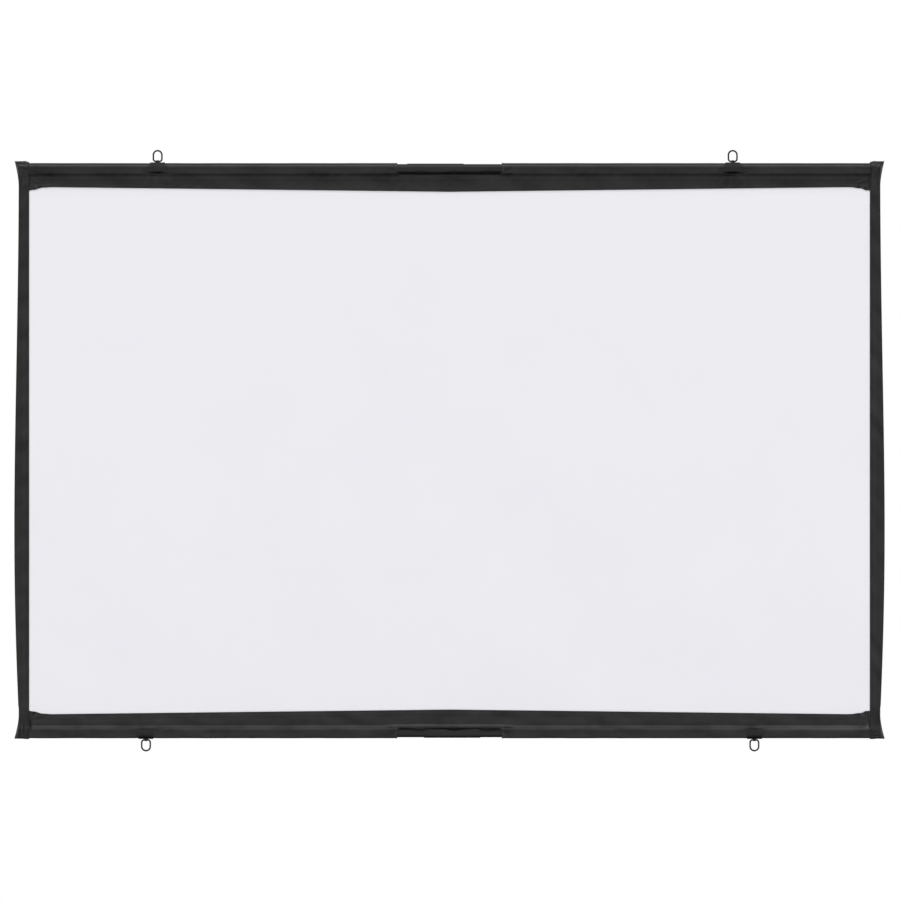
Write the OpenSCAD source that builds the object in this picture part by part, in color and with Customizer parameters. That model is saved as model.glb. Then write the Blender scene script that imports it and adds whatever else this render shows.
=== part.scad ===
// Wall-mounted projection screen: a white sheet between two sleeved tubes.
// +X runs to the viewer's right, -Y faces the viewer and +Z is up.
// The origin is on the hanging line, where wall hooks bear in the two top rings,
// half way across the screen and in the plane of the tube axes.

/* [Viewing sheet] */
// Width of the white viewing area
view_w = 1551; // [1000:1:2200]
// Height of the white viewing area, beside its corners
view_h = 972; // [600:1:1400]
// Thickness of the white sheet
sheet_t = 0.5; // [0.3:0.1:1]

/* [Tubes] */
// Outer diameter of the tubes
tube_d = 19; // [14:0.5:28]
// Wall of the tubes
tube_wall = 1; // [0.8:0.1:2]
// Gap between the two halves of a tube where they butt
butt_gap = 0.4; // [0.2:0.1:1]

/* [Couplers] */
// Length of the coupler that slides over the butt joint
coupler_len = 104; // [60:1:140]
// Wall of the coupler
coupler_wall = 0.9; // [0.6:0.1:1.5]
// Place of the top coupler's middle, from the screen's middle
top_coupler_x = -26; // [-40:0.5:40]
// Place of the bottom coupler's middle, from the screen's middle
bottom_coupler_x = 4.5; // [-40:0.5:40]

/* [End plugs] */
// Thickness of a plug's flange
plug_flange_t = 2; // [1:0.5:4]
// Length of a plug's stem inside the tube
plug_stem_len = 15; // [8:1:30]
// Wall of a plug's hollow stem
plug_wall = 1.6; // [1:0.1:3]

/* [Sleeves] */
// Thickness of the black cloth
cloth_t = 0.5; // [0.3:0.1:1]
// Depth of a hem beside the corners, from the tube's axis to the white
hem_side = 33.3; // [28:0.1:60]
// How much deeper a hem is at mid width
hem_sag = 8.5; // [0:0.5:20]
// How much deeper a hem is at the very corner
hem_corner_drop = 6.4; // [0:0.1:12]
// Length of the curved stretch of a hem at each corner
hem_corner_w = 44; // [20:1:80]
// Width of the cut-away window at mid width
window_w = 193; // [150:1:260]
// Height of the cloth left in the window, from the tube's axis towards the hem
window_edge = 6; // [3:0.5:9]
// Radius of the cloth's turn from the loop into the hem
hem_turn_r = 2; // [1:0.5:4]

/* [Side bindings] */
// Width of a binding at its narrowest, just inside the hems
binding_w = 18.5; // [14:0.5:30]
// How far the outer edge bulges below mid height
binding_bulge = 8.1; // [0:0.1:16]
// How far the outer edge flares at the tube ends
binding_flare = 6.2; // [3:0.1:12]
// Height of the top corners' peak over the sleeve
binding_peak = 3.5; // [2:0.1:8]
// Length over which the cloth bridges from the tube's end to the hem
binding_bridge = 22; // [10:0.5:28]

/* [Clips] */
// Length of a clip along the tube
clip_len = 27; // [22:0.5:40]
// Wall of a clip
clip_wall = 1; // [0.8:0.1:2.5]
// How far round a clip reaches on each side, in degrees from its lug
clip_wrap = 114; // [100:1:125]
// Width of the lug that holds the ring
lug_w = 5.4; // [5:0.1:8]
// Wall of the lug round the ring's bar, and radius of its upper corners
lug_wall = 0.8; // [0.8:0.1:2]
// Wall between the lug's bore and the tube side of the clip
lug_floor = 1.08; // [1.05:0.01:2]
// Distance of the top left clip's middle in from the white area's side edge
top_left_clip_in = 237; // [40:0.5:350]
// Distance of the top right clip's middle in from the same edge
top_right_clip_in = 253; // [40:0.5:350]
// Distance of the bottom left clip's middle in from the same edge
bottom_left_clip_in = 215.5; // [40:0.5:350]
// Distance of the bottom right clip's middle in from the same edge
bottom_right_clip_in = 213; // [40:0.5:350]

/* [Rings] */
// Diameter of the ring's wire
wire_d = 3; // [1.8:0.1:3.2]
// Outer width of a ring
ring_w = 18.8; // [18:0.1:21]
// Height from the bar's axis to the wire's axis at the ring's crown
ring_rise = 19.92; // [16:0.01:30]
// Radius of the wire's axis in the two wide bends beside the bar
ring_corner_r = 5; // [3:0.1:5.4]

/* [Clearances] */
// Radial running clearance of the couplers on the tubes and the rings in the lugs
running = 0.1; // [0.05:0.01:0.1]
// Clearance between cloth and what slides or sits beside it
cloth_gap = 0.3; // [0.2:0.05:0.5]
// End clearance between the lug and the ring's corners
end_gap = 0.2; // [0.1:0.05:0.5]

/* [Hidden] */

$fn = 96;
// overrun of every cutting shape past the faces that it cuts
past = 1;
// reach of a wedge that cuts a sector, as a multiple of the radius it cuts
wedge_reach = 3;
// rise of the lug's front outline over its crown
lug_front_over = 0.25;
// straight wire is this much thinner than the bends, and runs this far into them; a round end is
// this much thinner than the wall that it closes
bend_step = 0.03;
bend_run_in = 0.2;

// radii about a tube's axis, from the inside out
tube_r = tube_d / 2;
tube_bore_r = tube_r - tube_wall;
coupler_bore_r = tube_r + running;
coupler_r = coupler_bore_r + coupler_wall;
sleeve_in_r = coupler_r + cloth_gap;
sleeve_r = sleeve_in_r + cloth_t;
cap_in_r = sleeve_r + cloth_gap;
cap_r = cap_in_r + cloth_t;
clip_in_r = sleeve_r + cloth_gap;
clip_r = clip_in_r + clip_wall;

// ring and lug
wire_r = wire_d / 2;
bar_r = wire_r - bend_step;
lug_bore_r = bar_r + running;
lug_r = lug_bore_r + lug_wall;
bar_h = clip_in_r + lug_floor + lug_bore_r;
crown_r = ring_w / 2 - wire_r;
crown_h = ring_rise - crown_r;
corner_x = lug_w / 2 + end_gap;

// half thicknesses of the layered cloth, from the sheet's middle plane outwards
sheet_half = sheet_t / 2;
hem_half = sheet_half + cloth_t;

// heights of the tube axes under the hanging line
axis_span = view_h + 2 * hem_side;
top_z = wire_r - ring_rise - bar_h;
bottom_z = top_z - axis_span;

// places along X
view_half = view_w / 2;
neck_x = view_half + binding_w;
sleeve_end_x = neck_x - cloth_t - cloth_gap;
tube_end_x = sleeve_end_x - plug_flange_t;
top_left_clip_x = top_left_clip_in - view_half;
top_right_clip_x = view_half - top_right_clip_in;
bottom_left_clip_x = bottom_left_clip_in - view_half;
bottom_right_clip_x = view_half - bottom_right_clip_in;

// the outer edge starts to flare this far from a tube's axis, towards the sheet
flare_lead = 3;
flare_start = hem_side - flare_lead;
// no part of a hem reaches further than this from the tube's axis
hem_reach = hem_side + hem_sag + hem_corner_drop;
// exponents that set where the outer edge flares and bulges most
flare_power = 1.6;
bulge_power = 1.6;
// number of straight steps in each curved stretch of an outline
edge_steps = 28;
flare_steps = 8;
cap_steps = 24;
hem_steps = 6;

// distance of the side edge from the middle, at outward height u from a tube's axis
function flare_x(u) = neck_x
    + binding_flare * pow((u + flare_start) / (sleeve_r + flare_start), flare_power);
// the same between the flares, at t = 0 below the top tube and t = 1 above the bottom tube
function bulge_x(t) = neck_x + binding_bulge * sin(180 * pow(t, bulge_power));

// points of the side edge from the top corner to the bottom corner, drawn in by inset
function side_edge(top_u, bottom_u, inset) = concat(
    [for (i = [0 : flare_steps - 1])
        let (u = top_u - (top_u + flare_start) * i / flare_steps)
        [flare_x(u) - inset, top_z + u]],
    [for (i = [0 : edge_steps])
        let (t = i / edge_steps)
        [bulge_x(t) - inset, top_z - flare_start - t * (axis_span - 2 * flare_start)]],
    [for (i = [1 : flare_steps])
        let (u = -flare_start + (bottom_u + flare_start) * i / flare_steps)
        [flare_x(u) - inset, bottom_z - u]]);

// depth of a hem below the tube's axis at distance x from the middle
hem_bend_x = view_half - hem_corner_w;
function hem_depth(x) = hem_side + hem_sag * max(0, 1 - x / hem_bend_x)
    + hem_corner_drop * pow(max(0, x - hem_bend_x) / hem_corner_w, 2);
function hem_edge(side) = [for (i = [0 : hem_steps])
    let (x = hem_bend_x + (view_half - hem_bend_x) * i / hem_steps)
    [side * x, -hem_depth(x)]];

// extrudes a Y-Z outline along X, centred
module along_x(length) {
    translate([-length / 2, 0, 0])
        rotate([90, 0, 90])
            linear_extrude(length)
                children();
}

// extrudes an X-Z outline through the thickness t, centred on the sheet's plane
module through_y(t) {
    rotate([90, 0, 0])
        linear_extrude(t, center = true)
            children();
}

// places a piece that is drawn outwards (+Z) from a tube's axis
module at_top(x = 0) {
    translate([x, 0, top_z])
        children();
}

module at_bottom(x = 0) {
    translate([x, 0, bottom_z])
        mirror([0, 0, 1])
            children();
}

module on_left() {
    mirror([1, 0, 0])
        children();
}

// sector of the plane within half_angle of the outward direction
module sector(half_angle, r) {
    reach = wedge_reach * r;
    polygon([[0, 0],
        [reach * sin(half_angle), reach * cos(half_angle)],
        [reach * sin(half_angle / 2), reach * cos(half_angle / 2)],
        [0, reach],
        [-reach * sin(half_angle / 2), reach * cos(half_angle / 2)],
        [-reach * sin(half_angle), reach * cos(half_angle)]]);
}

// round loop of radius r that turns into a flat band of half thickness half, down to depth
module loop_outline(r, half, depth) {
    turn_y = half + hem_turn_r;
    turn_z = -sqrt(pow(r + hem_turn_r, 2) - turn_y * turn_y);
    touch = r / (r + hem_turn_r);
    circle(r);
    difference() {
        polygon([[0, 0],
            [turn_y * touch, turn_z * touch],
            [turn_y, turn_z],
            [-turn_y, turn_z],
            [-turn_y * touch, turn_z * touch]]);
        for (side = [-1, 1]) {
            translate([side * turn_y, turn_z])
                circle(hem_turn_r);
        }
    }
    translate([-half, -depth])
        square([2 * half, depth]);
}

// one sleeve about a tube's axis, its hem hanging to -Z
module sleeve() {
    seam_depth = sleeve_r + hem_turn_r + cloth_t;
    difference() {
        union() {
            along_x(2 * sleeve_end_x)
                loop_outline(sleeve_r, hem_half, seam_depth);
            through_y(2 * hem_half)
                polygon(concat(
                    [[-sleeve_end_x, -sleeve_r], [-sleeve_end_x, -hem_depth(view_half)]],
                    [for (i = [hem_steps : -1 : 0]) hem_edge(-1)[i]],
                    [[0, -hem_depth(0)]],
                    hem_edge(1),
                    [[sleeve_end_x, -hem_depth(view_half)], [sleeve_end_x, -sleeve_r]]));
        }
        along_x(2 * (sleeve_end_x + past)) {
            circle(sleeve_in_r);
            translate([-sheet_half, -hem_reach])
                square([sheet_t, hem_reach]);
        }
        translate([-window_w / 2, -sleeve_r - past, -window_edge])
            cube([window_w, 2 * (sleeve_r + past), window_edge + sleeve_r + past]);
    }
}

module top_sleeve() {
    color([0.17, 0.17, 0.18])
        at_top()
            sleeve();
}

module bottom_sleeve() {
    color([0.17, 0.17, 0.18])
        at_bottom()
            sleeve();
}

// the white sheet, whose edges lie between the hems' and the bindings' layers
module projection_sheet() {
    seam_u = -(sleeve_r + cloth_gap);
    edge = side_edge(seam_u, seam_u, cloth_t + cloth_gap);
    color([0.93, 0.93, 0.94])
        through_y(sheet_t)
            polygon(concat(edge, [for (i = [len(edge) - 1 : -1 : 0]) [-edge[i][0], edge[i][1]]]));
}

// angle from the outward direction at which a line from [half, tip] touches a circle
function touch_angle(r, half, tip) = atan(half / tip) + acos(r / norm([half, tip]));

// one end of a binding's outline, about the tube's axis, from its tip to its lap
function cap_points(r, half, peak, bridge, lap) =
    let (from = peak > r ? touch_angle(r, half, peak) : 0)
    let (to = 180 - touch_angle(r, half, bridge))
    concat(
        peak > r ? [[half, peak]] : [],
        [for (i = [0 : cap_steps])
            let (a = from + (to - from) * i / cap_steps)
            [r * sin(a), r * cos(a)]],
        [[half, -bridge], [half, -lap]]);

// Y-Z outline of a binding, grown by skin over what it wraps
module binding_outline(skin) {
    r = cap_in_r + skin;
    half = hem_half + skin;
    mid = sheet_half + skin;
    bridge = sleeve_r + binding_bridge;
    lap = hem_reach + skin;
    peak = sleeve_r + binding_peak - cloth_t + skin;
    top = cap_points(r, half, peak, bridge, lap);
    bottom = cap_points(r, half, 0, bridge, lap);
    right = concat(
        [for (p = top) [p[0], top_z + p[1]]],
        [[mid, top_z - lap], [mid, bottom_z + lap]],
        [for (i = [len(bottom) - 1 : -1 : 0]) [bottom[i][0], bottom_z - bottom[i][1]]]);
    left = [for (i = [len(right) - 2 : -1 : 0]) [-right[i][0], right[i][1]]];
    polygon(concat(right, left));
}

// X-Z outline of the right binding, its outer edge drawn in by inset
module binding_face(inner_x, top_u, bottom_u, inset) {
    polygon(concat(
        [[inner_x, top_z + top_u]],
        side_edge(top_u, bottom_u, inset),
        [[inner_x, bottom_z - bottom_u]]));
}

// the strip folded round the right edge
module side_binding() {
    peak = sleeve_r + binding_peak;
    length = 2 * (neck_x + binding_flare + binding_bulge + past);
    difference() {
        intersection() {
            along_x(length)
                binding_outline(cloth_t);
            through_y(2 * cap_r + past)
                binding_face(view_half, peak, cap_r, 0);
        }
        intersection() {
            along_x(length)
                binding_outline(0);
            through_y(2 * cap_r + past)
                binding_face(view_half - past, peak, cap_r, cloth_t);
        }
    }
}

module right_side_binding() {
    color([0.17, 0.17, 0.18])
        side_binding();
}

module left_side_binding() {
    color([0.17, 0.17, 0.18])
        on_left()
            side_binding();
}

// the right half of a tube
module half_tube() {
    translate([butt_gap / 2, 0, 0])
        rotate([0, 90, 0])
            difference() {
                cylinder(h = tube_end_x - butt_gap / 2, r = tube_r);
                translate([0, 0, -past])
                    cylinder(h = tube_end_x + 2 * past, r = tube_bore_r);
            }
}

module top_right_tube() {
    color([0.2, 0.2, 0.21])
        at_top()
            half_tube();
}

module top_left_tube() {
    color([0.2, 0.2, 0.21])
        at_top()
            on_left()
                half_tube();
}

module bottom_right_tube() {
    color([0.2, 0.2, 0.21])
        at_bottom()
            half_tube();
}

module bottom_left_tube() {
    color([0.2, 0.2, 0.21])
        at_bottom()
            on_left()
                half_tube();
}

// the plug in the right end of a tube: flange, and a hollow stem inside the bore
module end_plug() {
    flange_r = sleeve_in_r - cloth_gap;
    stem_r = tube_bore_r - running;
    translate([tube_end_x, 0, 0])
        rotate([0, 90, 0])
            difference() {
                union() {
                    cylinder(h = plug_flange_t, r = flange_r);
                    translate([0, 0, -plug_stem_len])
                        cylinder(h = plug_stem_len + plug_flange_t, r = stem_r);
                }
                translate([0, 0, -plug_stem_len - past])
                    cylinder(h = plug_stem_len + past, r = stem_r - plug_wall);
            }
}

module top_right_end_plug() {
    color([0.1, 0.1, 0.1])
        at_top()
            end_plug();
}

module top_left_end_plug() {
    color([0.1, 0.1, 0.1])
        at_top()
            on_left()
                end_plug();
}

module bottom_right_end_plug() {
    color([0.1, 0.1, 0.1])
        at_bottom()
            end_plug();
}

module bottom_left_end_plug() {
    color([0.1, 0.1, 0.1])
        at_bottom()
            on_left()
                end_plug();
}

// the tube that slides over the butt joint
module coupler() {
    rotate([0, 90, 0])
        difference() {
            cylinder(h = coupler_len, r = coupler_r, center = true);
            cylinder(h = coupler_len + 2 * past, r = coupler_bore_r, center = true);
        }
}

module top_coupler() {
    color([0.23, 0.23, 0.24])
        at_top(top_coupler_x)
            coupler();
}

module bottom_coupler() {
    color([0.23, 0.23, 0.24])
        at_bottom(bottom_coupler_x)
            coupler();
}

// C-shaped outline open towards the hem, with round ends
module c_outline(r_in, r_out, wrap) {
    mid_r = (r_in + r_out) / 2;
    difference() {
        circle(r_out);
        circle(r_in);
        mirror([0, 1])
            sector(180 - wrap, r_out);
    }
    for (side = [-1, 1]) {
        translate([side * mid_r * sin(wrap), mid_r * cos(wrap)])
            circle((r_out - r_in) / 2 - bend_step, $fn = 32);
    }
}

// front outline of the lug about the tube's axis, with round upper corners; it stands over the lug's
// crown, so that the corners cut it at a clear angle
module lug_front() {
    corner = [lug_w / 2 - lug_wall, bar_h + lug_r - lug_wall + lug_front_over];
    polygon(concat([[-lug_w / 2, 0], [lug_w / 2, 0]],
        [for (a = [0 : 15 : 90])
            corner + lug_wall * [cos(a), sin(a)]],
        [for (a = [90 : 15 : 180])
            [-corner[0], corner[1]] + lug_wall * [cos(a), sin(a)]]));
}

// a clip about the tube's axis, with its lug outwards
module clip() {
    difference() {
        union() {
            along_x(clip_len)
                c_outline(clip_in_r, clip_r, clip_wrap);
            intersection() {
                along_x(lug_w + 2 * past) {
                    translate([0, bar_h])
                        circle(lug_r, $fn = 48);
                    polygon([[-lug_r, bar_h],
                        [lug_r, bar_h],
                        [lug_r + lug_wall, clip_in_r],
                        [-lug_r - lug_wall, clip_in_r]]);
                }
                through_y(2 * (lug_r + lug_wall + past))
                    lug_front();
            }
        }
        rotate([0, 90, 0])
            cylinder(h = clip_len + 2 * past, r = clip_in_r, center = true);
        translate([0, 0, bar_h])
            rotate([0, 90, 0])
                cylinder(h = clip_len, r = lug_bore_r, center = true, $fn = 48);
    }
}

module top_left_clip() {
    color([0.2, 0.2, 0.2])
        at_top(top_left_clip_x)
            clip();
}

module top_right_clip() {
    color([0.2, 0.2, 0.2])
        at_top(top_right_clip_x)
            clip();
}

module bottom_left_clip() {
    color([0.2, 0.2, 0.2])
        at_bottom(bottom_left_clip_x)
            clip();
}

module bottom_right_clip() {
    color([0.2, 0.2, 0.2])
        at_bottom(bottom_right_clip_x)
            clip();
}

// round wire bent about centre [x, z] to radius bend_r, between two angles
module bent_wire(centre, bend_r, from, to) {
    translate([centre[0], 0, centre[1]])
        rotate([90, 0, 0])
            rotate([0, 0, from])
                rotate_extrude(angle = to - from)
                    translate([bend_r, 0])
                        circle(wire_r, $fn = 32);
}

// straight round wire between the bends that end at points a and b, both [x, z]
module straight_wire(a, b) {
    run = b - a;
    translate([a[0], 0, a[1]])
        rotate([0, atan2(run[0], run[1]), 0])
            translate([0, 0, -bend_run_in])
                cylinder(h = norm(run) + 2 * bend_run_in, r = bar_r, $fn = 32);
}

// the ring about its bar's axis, with its round crown outwards
module ring() {
    corner = [corner_x, ring_corner_r];
    crown = [0, crown_h];
    span = crown - corner;
    // direction of the side's outward normal, where both bends run into the straight side
    side_angle = atan2(span[1], span[0]) - acos((ring_corner_r - crown_r) / norm(span));
    normal = [cos(side_angle), sin(side_angle)];
    straight_wire([-corner_x, 0], [corner_x, 0]);
    bent_wire(crown, crown_r, side_angle, 180 - side_angle);
    for (side = [0, 1]) {
        mirror([side, 0, 0]) {
            bent_wire(corner, ring_corner_r, -90, side_angle);
            straight_wire(corner + ring_corner_r * normal, crown + crown_r * normal);
        }
    }
}

module hung_ring() {
    color([0.34, 0.34, 0.35])
        translate([0, 0, bar_h])
            ring();
}

module top_left_ring() {
    at_top(top_left_clip_x)
        hung_ring();
}

module top_right_ring() {
    at_top(top_right_clip_x)
        hung_ring();
}

module bottom_left_ring() {
    at_bottom(bottom_left_clip_x)
        hung_ring();
}

module bottom_right_ring() {
    at_bottom(bottom_right_clip_x)
        hung_ring();
}

projection_sheet();
left_side_binding();
right_side_binding();
top_sleeve();
bottom_sleeve();
top_left_tube();
top_right_tube();
bottom_left_tube();
bottom_right_tube();
top_coupler();
bottom_coupler();
top_left_end_plug();
top_right_end_plug();
bottom_left_end_plug();
bottom_right_end_plug();
top_left_clip();
top_right_clip();
bottom_left_clip();
bottom_right_clip();
top_left_ring();
top_right_ring();
bottom_left_ring();
bottom_right_ring();
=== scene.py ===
"""The looks of the wall-mounted projection screen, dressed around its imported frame."""

import math

import bpy
import numpy as np
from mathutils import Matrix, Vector


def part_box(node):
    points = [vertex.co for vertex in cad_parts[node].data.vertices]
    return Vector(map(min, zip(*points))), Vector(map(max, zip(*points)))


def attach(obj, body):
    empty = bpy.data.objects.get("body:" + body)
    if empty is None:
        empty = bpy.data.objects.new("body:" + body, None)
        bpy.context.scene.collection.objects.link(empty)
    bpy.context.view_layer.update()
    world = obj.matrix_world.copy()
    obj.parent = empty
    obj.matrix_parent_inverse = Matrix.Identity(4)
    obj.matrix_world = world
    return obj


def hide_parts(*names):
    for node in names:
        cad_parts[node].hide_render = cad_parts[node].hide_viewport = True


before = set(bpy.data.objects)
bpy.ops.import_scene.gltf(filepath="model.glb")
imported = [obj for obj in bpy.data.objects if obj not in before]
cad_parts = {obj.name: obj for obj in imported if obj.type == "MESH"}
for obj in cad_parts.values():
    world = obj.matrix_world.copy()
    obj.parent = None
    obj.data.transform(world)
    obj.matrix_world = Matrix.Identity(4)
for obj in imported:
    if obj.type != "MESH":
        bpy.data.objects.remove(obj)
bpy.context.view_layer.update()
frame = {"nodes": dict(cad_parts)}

MM = 0.001
X, Z = 0, 2
FRONT = (0, -1, 0)
BACK = (0, 1, 0)


def middle(node, axis):
    """Middle of a node's box along one axis."""
    low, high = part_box(node)
    return (low[axis] + high[axis]) / 2


# Places and sizes read from the frame. A height u is measured outward from a tube's axis, which is
# up from the top tube and down from the bottom one.
TOP_Z = middle("top_right_tube", Z)
BOTTOM_Z = middle("bottom_right_tube", Z)
SPAN = TOP_Z - BOTTOM_Z
sleeve_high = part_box("top_sleeve")[1]
SLEEVE_R = sleeve_high.z - TOP_Z
SLEEVE_END = sleeve_high.x
binding_low, binding_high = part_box("right_side_binding")
VIEW_HALF = binding_low.x
CAP_R = binding_high.y
PEAK = binding_high.z - TOP_Z

# Sizes of the cloth that no box gives, as in the CAD model
CLOTH_T = 0.5 * MM
CLOTH_GAP = 0.3 * MM
SHEET_HALF = 0.25 * MM
HEM_HALF = SHEET_HALF + CLOTH_T
HEM_SIDE = 33.3 * MM
HEM_SAG = 8.5 * MM
HEM_CORNER_DROP = 6.4 * MM
HEM_CORNER_W = 44 * MM
HEM_BEND_X = VIEW_HALF - HEM_CORNER_W
WINDOW_HALF = 96.5 * MM
WINDOW_EDGE = 6 * MM
BINDING_W = 18.5 * MM
BINDING_BULGE = 8.1 * MM
BINDING_BRIDGE = 22 * MM
BRIDGE_U = SLEEVE_R + BINDING_BRIDGE
FLARE_START = HEM_SIDE - 3 * MM
EDGE_POWER = 1.6

# The side edges, which stand a little further out than in the CAD model
EDGE_SPARE = 0.9 * MM
NECK_X = VIEW_HALF + BINDING_W + EDGE_SPARE
TOP_FLARE = 6.6 * MM
BOTTOM_FLARE = 8.0 * MM

# Folded edges: the hems' turn with its fold, and the step down from it to the plain cloth
LAYER_GAP = 0.03 * MM
FOLD_W = 8 * MM
FOLD_R = 0.57 * MM
FOLD_IN = SHEET_HALF + LAYER_GAP
FOLD_TOP = FOLD_IN + 2 * FOLD_R
FOLD_STEP = 2.5 * MM
HEM_STITCH_IN = 5.5 * MM
HEM_INSETS = (FOLD_R, 1.6 * MM, 3 * MM, 4.4 * MM, HEM_STITCH_IN, 6.6 * MM,
              FOLD_W, FOLD_W + FOLD_STEP / 2, FOLD_W + FOLD_STEP)

# A hem's edge beside a corner: small waves, and a drop just before the binding
HEM_WAVE = 0.5 * MM
HEM_WAVE_PITCH = 2.9 * MM
HEM_DROP = 1.1 * MM
HEM_DROP_IN = 9 * MM

# A sleeve's loop: the seam that closes it, how the cloth leaves the seam, and where it reaches the
# tube, in degrees from straight outward
TUNNEL_STITCH = 17.6 * MM
SEAM_TURN = 0.16
SEAM_FACING = 0.5
TOUCH_ANGLE = 131

# How far a loop's cloth may stand out where clips slide over it and where they end, and how far it
# may sink in, also where a coupler slides
CLIP_ROOM = 0.15 * MM
OPEN_ROOM = 2 * MM
CLIP_END_ANGLE = 124
SINK = 1.05 * MM
COUPLER_SINK = 0.1 * MM
COUPLER_REACH = 118 * MM

# How far the bottom loop is drawn in by the weight that hangs in it, from a height u over the seam
# to an angle from straight outward
LOOP_PULL = 1.1 * MM
LOOP_SINK = 1.25 * MM
PULL_U = -16.5 * MM
PULL_RUN = 7 * MM
PULL_END_ANGLE = 80
PULL_TURN = 35

# A window's edge: turned in at its ends, and curled out and wavy along its length
WINDOW_TURN = 0.42 * MM
WINDOW_LIP = 1.1 * MM
WINDOW_LIP_WAVE = 0.4 * MM
WINDOW_FADE = 7 * MM

# Steps between the columns of a sleeve
PLAIN_STEP = 6.6 * MM
WINDOW_STEP = 2 * MM
WINDOW_END_STEP = 1 * MM
CORNER_STEP = 1.9 * MM
CLIP_STEP = 1.5 * MM
SMALLEST_STEP = 0.45 * MM
WINDOW_END_RUN = 6 * MM
CORNER_RUN = 10 * MM
CLIP_RUN = 32 * MM

# A binding: its turned-in edge, its stitching, its outer edge and where the cloth up to it lies
# plain, its rows, its waves' height and size, and the caps at its ends
BINDING_TURN = 7 * MM
BINDING_STITCH_IN = 2.6 * MM
BINDING_EDGE_R = HEM_HALF + 2 * LAYER_GAP
BINDING_PLAIN = BINDING_W - 1 * MM
BINDING_SEWN_IN = 17 * MM
BINDING_ROWS = 150
BINDING_WAVE = 0.14 * MM, 45 * MM
CAP_SAG = 2.6 * MM
CAP_ZONE = 50 * MM
CAP_LOW_PEAK = CAP_R + 0.2 * MM

# The end of a cap, down over the hem: how far out each row lies, and how far past the hem's end
CAP_FOOT = FOLD_TOP + LAYER_GAP
CAP_TAIL = ((CAP_FOOT, -4.5 * MM), (CAP_FOOT, -2.4 * MM), (CAP_FOOT, -0.6 * MM),
            (0.8 * CAP_FOOT, 0.3 * MM), (0.42 * CAP_FOOT, 1.1 * MM),
            (FOLD_IN, 2.2 * MM), (FOLD_IN, 4.5 * MM))

# Stitches, and the rings of one: share of its length, height over the cloth, and radius
STITCH_PITCH = 4 * MM
STITCH_LEN = 3.1 * MM
THREAD_R = 0.24 * MM
THREAD_SIDES = 6
THREAD_SHARES = np.array([0, 0.1, 0.5, 0.9, 1])
THREAD_LIFTS = np.array([-0.7, 0.15, 0.45, 0.15, -0.7]) * THREAD_R
THREAD_RADII = np.array([0.4, 0.9, 1, 0.9, 0.4]) * THREAD_R

# The white sheet: its cut size, how far in it stops from the side edges and from the tubes' axes,
# its rows and columns, and the height and size of its long and short waves
SHEET_EDGE_IN = 0.8 * MM
SHEET_END_IN = 11.6 * MM
SHEET_ROWS = 96
SHEET_COLUMNS = 161
SHEET_LONG_WAVE = 0.55 * MM, 620 * MM
SHEET_SHORT_WAVE = 0.25 * MM, 260 * MM

# The floor: its height and half width, and the distances between which it fades to the background,
# which reach further to the sides
FLOOR_Z = -1.5
FLOOR_HALF = 6
FLOOR_FADE = (0.75, 1.12)
FLOOR_FADE_SHAPE = (0.62, 1, 0)

ROOM_LIGHT = 0.55
# Name, place, what it faces, width and height, and power of each lamp
LAMPS = [
    ("overhead", (0, -1.75, 4.6), (0, 0, -0.5), (6.5, 1.4), 174),
    ("left_fill", (-3.4, -3.0, -1.0), (0, 0, -0.9), (1.8, 0.9), 26),
    ("right_fill", (3.4, -3.0, -1.0), (0, 0, -0.9), (1.8, 0.9), 26),
    ("low_front", (0, -2.4, -1.25), (0, 0, -0.8), (4.0, 0.4), 3.5)]

# The photograph's framing: what its middle looks at, how wide it is, and from how far
VIEW_X = 0.92 * MM
VIEW_Z = -550.7 * MM
VIEW_W = 1660.5 * MM
VIEW_FAR = 8.0
SENSOR_MM = 36

# Linear tones of the dark materials, and the share of a tone that is left where painted shade darkens
# what faces down
CLOTH_DARK, CLOTH_LIGHT = 0.0148, 0.0222
TUBE_TONE = 0.019
COUPLER_TONE = 0.02
PLUG_TONE = 0.008
CLIP_TONE = 0.014
SHADED_UNDERSIDE_SHARE = 0.12


def smooth(t):
    """0 below 0, 1 above 1, and an even slope between."""
    t = np.clip(t, 0, 1)
    return t * t * (3 - 2 * t)


def near(value, place, width):
    """1 at a place, fading to 0 over about one width on both sides."""
    return np.exp(-((value - place) / width) ** 2)


def flare_x(u, flare):
    """Distance of the side edge from the middle, at height u."""
    reach = np.maximum(u + FLARE_START, 0) / (SLEEVE_R + FLARE_START)
    return NECK_X + flare * reach ** EDGE_POWER


def edge_x(z):
    """Distance of the side edge from the middle at height z."""
    top_u, bottom_u = z - TOP_Z, BOTTOM_Z - z
    along = np.clip((TOP_Z - FLARE_START - z) / (SPAN - 2 * FLARE_START), 0, 1)
    bulge = NECK_X + BINDING_BULGE * np.sin(np.pi * along ** EDGE_POWER)
    ends = np.where(top_u > bottom_u, flare_x(top_u, TOP_FLARE), flare_x(bottom_u, BOTTOM_FLARE))
    return np.where(np.maximum(top_u, bottom_u) > -FLARE_START, ends, bulge)


def hem_depth(x):
    """How far a hem reaches in from its tube's axis."""
    x = np.minimum(np.abs(x), VIEW_HALF)
    corner = np.maximum(0, x - HEM_BEND_X) / HEM_CORNER_W
    return HEM_SIDE + HEM_SAG * np.maximum(0, 1 - x / HEM_BEND_X) + HEM_CORNER_DROP * corner ** 2


def ripple(a, b, size, seed):
    """Soft waves about one size long, from -1 to 1, the same for the same seed."""
    draw = np.random.default_rng(seed)
    total = 0
    waves = 6
    for _ in range(waves):
        heading = draw.uniform(0, np.pi)
        length = size * draw.uniform(0.6, 1.7)
        phase = draw.uniform(0, 2 * np.pi)
        total = total + np.sin(2 * np.pi * (a * np.cos(heading) + b * np.sin(heading)) / length + phase)
    return total / waves * 1.6


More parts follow.
